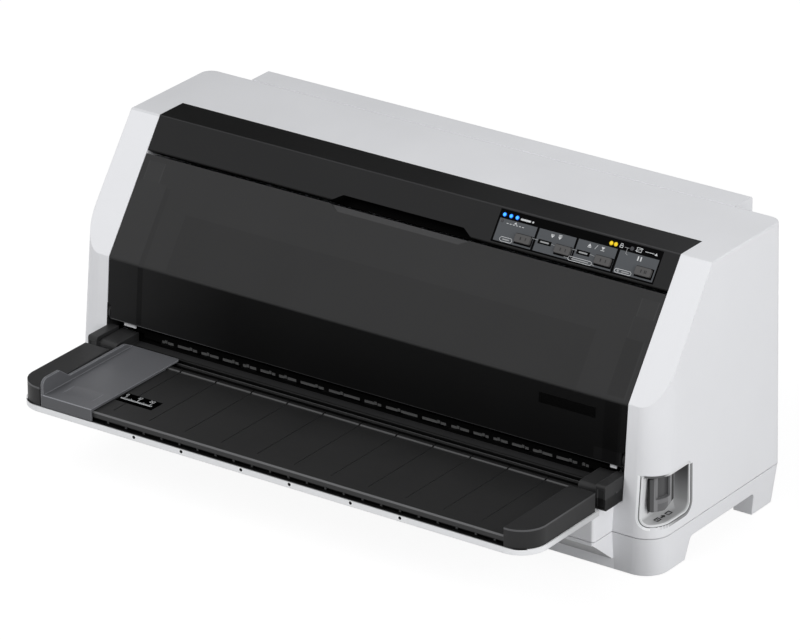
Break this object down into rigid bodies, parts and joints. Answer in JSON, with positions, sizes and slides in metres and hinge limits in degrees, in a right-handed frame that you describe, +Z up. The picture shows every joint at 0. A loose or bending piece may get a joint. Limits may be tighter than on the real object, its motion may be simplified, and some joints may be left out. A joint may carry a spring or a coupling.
{
  "type": "dot matrix printer",
  "caption": "Flatbed impact printer with a smoked front cover, sheet table with edge guide, push-button panel and side release lever.",
  "frame": {"origin": "centre of the bounding box in plan, at the height of the rubber feet", "axes": "+X to the printer's right when facing it, +Y to its back, +Z up"},
  "size_m": [0.546, 0.3208, 0.2334],
  "materials": {
    "white_casing": "fine textured",
    "black_casing": "satin",
    "smoked_cover": "smoked, slightly see-through",
    "black_plastic": "fine textured",
    "grey_plastic": "satin",
    "lever_plastic": "satin",
    "panel_plastic": "satin",
    "button_plastic": "satin",
    "lamp_plastic": "clear tinted",
    "label": "printed film",
    "rubber": "matte",
    "steel": "rolled sheet",
    "ground_steel": "ground",
    "white_plastic": "natural",
    "aluminium": "cast",
    "motor_steel": "satin",
    "ribbon_cloth": "inked",
    "belt_rubber": "matte",
    "circuit_board": "solder mask"
  },
  "bodies": {
    "printer": {"base_casing": "white_casing", "main_housing": "white_casing", "rear_cover": "white_casing", "lever_pocket": "white_casing", "table_tray": "white_casing", "rubber_feet": "rubber", "front_band": "black_casing", "control_panel": "panel_plastic", "indicator_lights": "lamp_plastic", "control_board": "circuit_board", "front_frame": "black_plastic", "lever_pivot_pin": "ground_steel", "table_plate": "black_plastic", "table_block_left": "black_plastic", "table_block_right": "black_plastic", "scale_label": "label", "ac_inlet": "black_plastic", "power_switch_housing": "black_plastic", "parallel_port": "steel", "usb_port": "steel", "left_side_frame": "steel", "right_side_frame": "steel", "frame_screws": "steel", "guide_rail": "steel", "rear_stay": "steel", "carriage_shaft": "ground_steel", "ribbon_cartridge": "black_plastic", "ribbon": "ribbon_cloth", "platen": "rubber", "lower_guide_plate": "black_plastic", "feed_motor": "motor_steel", "carriage_motor": "motor_steel", "timing_belt": "belt_rubber", "main_board": "circuit_board", "power_supply": "circuit_board"},
    "cover": {"printer_cover": "smoked_cover", "cover_hinge_pins": "ground_steel"},
    "lever": {"release_lever": "lever_plastic"},
    "guide": {"edge_guide": "grey_plastic"},
    "rocker": {"power_rocker": "button_plastic"},
    "carriage": {"carriage": "black_plastic", "print_head": "aluminium"},
    "ribbon_knob": {"ribbon_knob": "grey_plastic"},
    "front_feed": {"front_feed_shaft": "ground_steel", "front_feed_rollers": "rubber", "front_feed_gear": "white_plastic"},
    "rear_feed": {"rear_feed_shaft": "ground_steel", "rear_feed_rollers": "rubber", "rear_feed_gear": "white_plastic"},
    "front_pinch": {"front_pinch_rollers": "grey_plastic"},
    "rear_pinch": {"rear_pinch_rollers": "grey_plastic"},
    "idler": {"idler_gear": "white_plastic"},
    "pinion": {"motor_pinion": "ground_steel"},
    "drive_pulley": {"drive_pulley": "aluminium"},
    "idler_pulley": {"idler_pulley": "white_plastic"},
    "button_1": {"panel_button_1": "button_plastic"},
    "button_2": {"panel_button_2": "button_plastic"},
    "button_3": {"panel_button_3": "button_plastic"},
    "button_4": {"panel_button_4": "button_plastic"}
  },
  "joints": [
    {"name": "cover_hinge", "type": "hinge", "parent": "printer", "child": "cover", "pos_m": [0, -0.0284, 0.09], "axis": [1, 0, 0], "range_deg": [0, 78]},
    {"name": "release_lever_hinge", "type": "hinge", "parent": "printer", "child": "lever", "pos_m": [0, -0.0244, 0.038], "axis": [-1, 0, 0], "range_deg": [0, 22]},
    {"name": "edge_guide_slide", "type": "slide", "parent": "printer", "child": "guide", "axis": [1, 0, 0], "range_m": [0, 0.034]},
    {"name": "power_rocker_hinge", "type": "hinge", "parent": "printer", "child": "rocker", "pos_m": [-0.17, 0.13285, 0.0445], "axis": [-1, 0, 0], "range_deg": [0, 14]},
    {"name": "carriage_slide", "type": "slide", "parent": "printer", "child": "carriage", "axis": [1, 0, 0], "range_m": [0, 0.336]},
    {"name": "drive_pulley_spin", "type": "hinge", "parent": "printer", "child": "drive_pulley", "pos_m": [-0.205, 0.0903, 0.104], "axis": [0, 0, -1], "range_deg": [0, 2411.4]},
    {"name": "idler_pulley_spin", "type": "hinge", "parent": "printer", "child": "idler_pulley", "pos_m": [0.205, 0.0903, 0.104], "axis": [0, 0, -1], "range_deg": [0, 2411.4]},
    {"name": "ribbon_knob_spin", "type": "hinge", "parent": "printer", "child": "ribbon_knob", "pos_m": [-0.15, -0.0164, 0.136], "axis": [0, 0, 1], "continuous": true},
    {"name": "front_feed_spin", "type": "hinge", "parent": "printer", "child": "front_feed", "pos_m": [0, -0.0184, 0.0628], "axis": [1, 0, 0], "continuous": true},
    {"name": "rear_feed_spin", "type": "hinge", "parent": "printer", "child": "rear_feed", "pos_m": [0, 0.0536, 0.0628], "axis": [1, 0, 0], "continuous": true},
    {"name": "front_pinch_spin", "type": "hinge", "parent": "printer", "child": "front_pinch", "pos_m": [0, -0.0184, 0.0741], "axis": [1, 0, 0], "continuous": true},
    {"name": "rear_pinch_spin", "type": "hinge", "parent": "printer", "child": "rear_pinch", "pos_m": [0, 0.0536, 0.0741], "axis": [1, 0, 0], "continuous": true},
    {"name": "idler_gear_spin", "type": "hinge", "parent": "printer", "child": "idler", "pos_m": [0.235, 0.0176, 0.0628], "axis": [1, 0, 0], "continuous": true},
    {"name": "motor_pinion_spin", "type": "hinge", "parent": "printer", "child": "pinion", "pos_m": [0.235, 0.0176, 0.0358], "axis": [1, 0, 0], "continuous": true},
    {"name": "button_1_press", "type": "slide", "parent": "printer", "child": "button_1", "axis": [0, 0.8134, -0.5817], "range_m": [0, 0.0008], "stiffness_N_per_m": 400},
    {"name": "button_2_press", "type": "slide", "parent": "printer", "child": "button_2", "axis": [0, 0.8134, -0.5817], "range_m": [0, 0.0008], "stiffness_N_per_m": 400},
    {"name": "button_3_press", "type": "slide", "parent": "printer", "child": "button_3", "axis": [0, 0.8134, -0.5817], "range_m": [0, 0.0008], "stiffness_N_per_m": 400},
    {"name": "button_4_press", "type": "slide", "parent": "printer", "child": "button_4", "axis": [0, 0.8134, -0.5817], "range_m": [0, 0.0008], "stiffness_N_per_m": 400}
  ],
  "couplings": [
    {"joint": "drive_pulley_spin", "follows": "carriage_slide", "rad_per_m": 125},
    {"joint": "idler_pulley_spin", "follows": "carriage_slide", "rad_per_m": 125},
    {"joint": "rear_feed_spin", "follows": "front_feed_spin", "ratio": 1},
    {"joint": "idler_gear_spin", "follows": "front_feed_spin", "ratio": -0.71429},
    {"joint": "motor_pinion_spin", "follows": "front_feed_spin", "ratio": 2.5},
    {"joint": "front_pinch_spin", "follows": "front_feed_spin", "ratio": -1.75},
    {"joint": "rear_pinch_spin", "follows": "front_feed_spin", "ratio": -1.75}
  ]
}
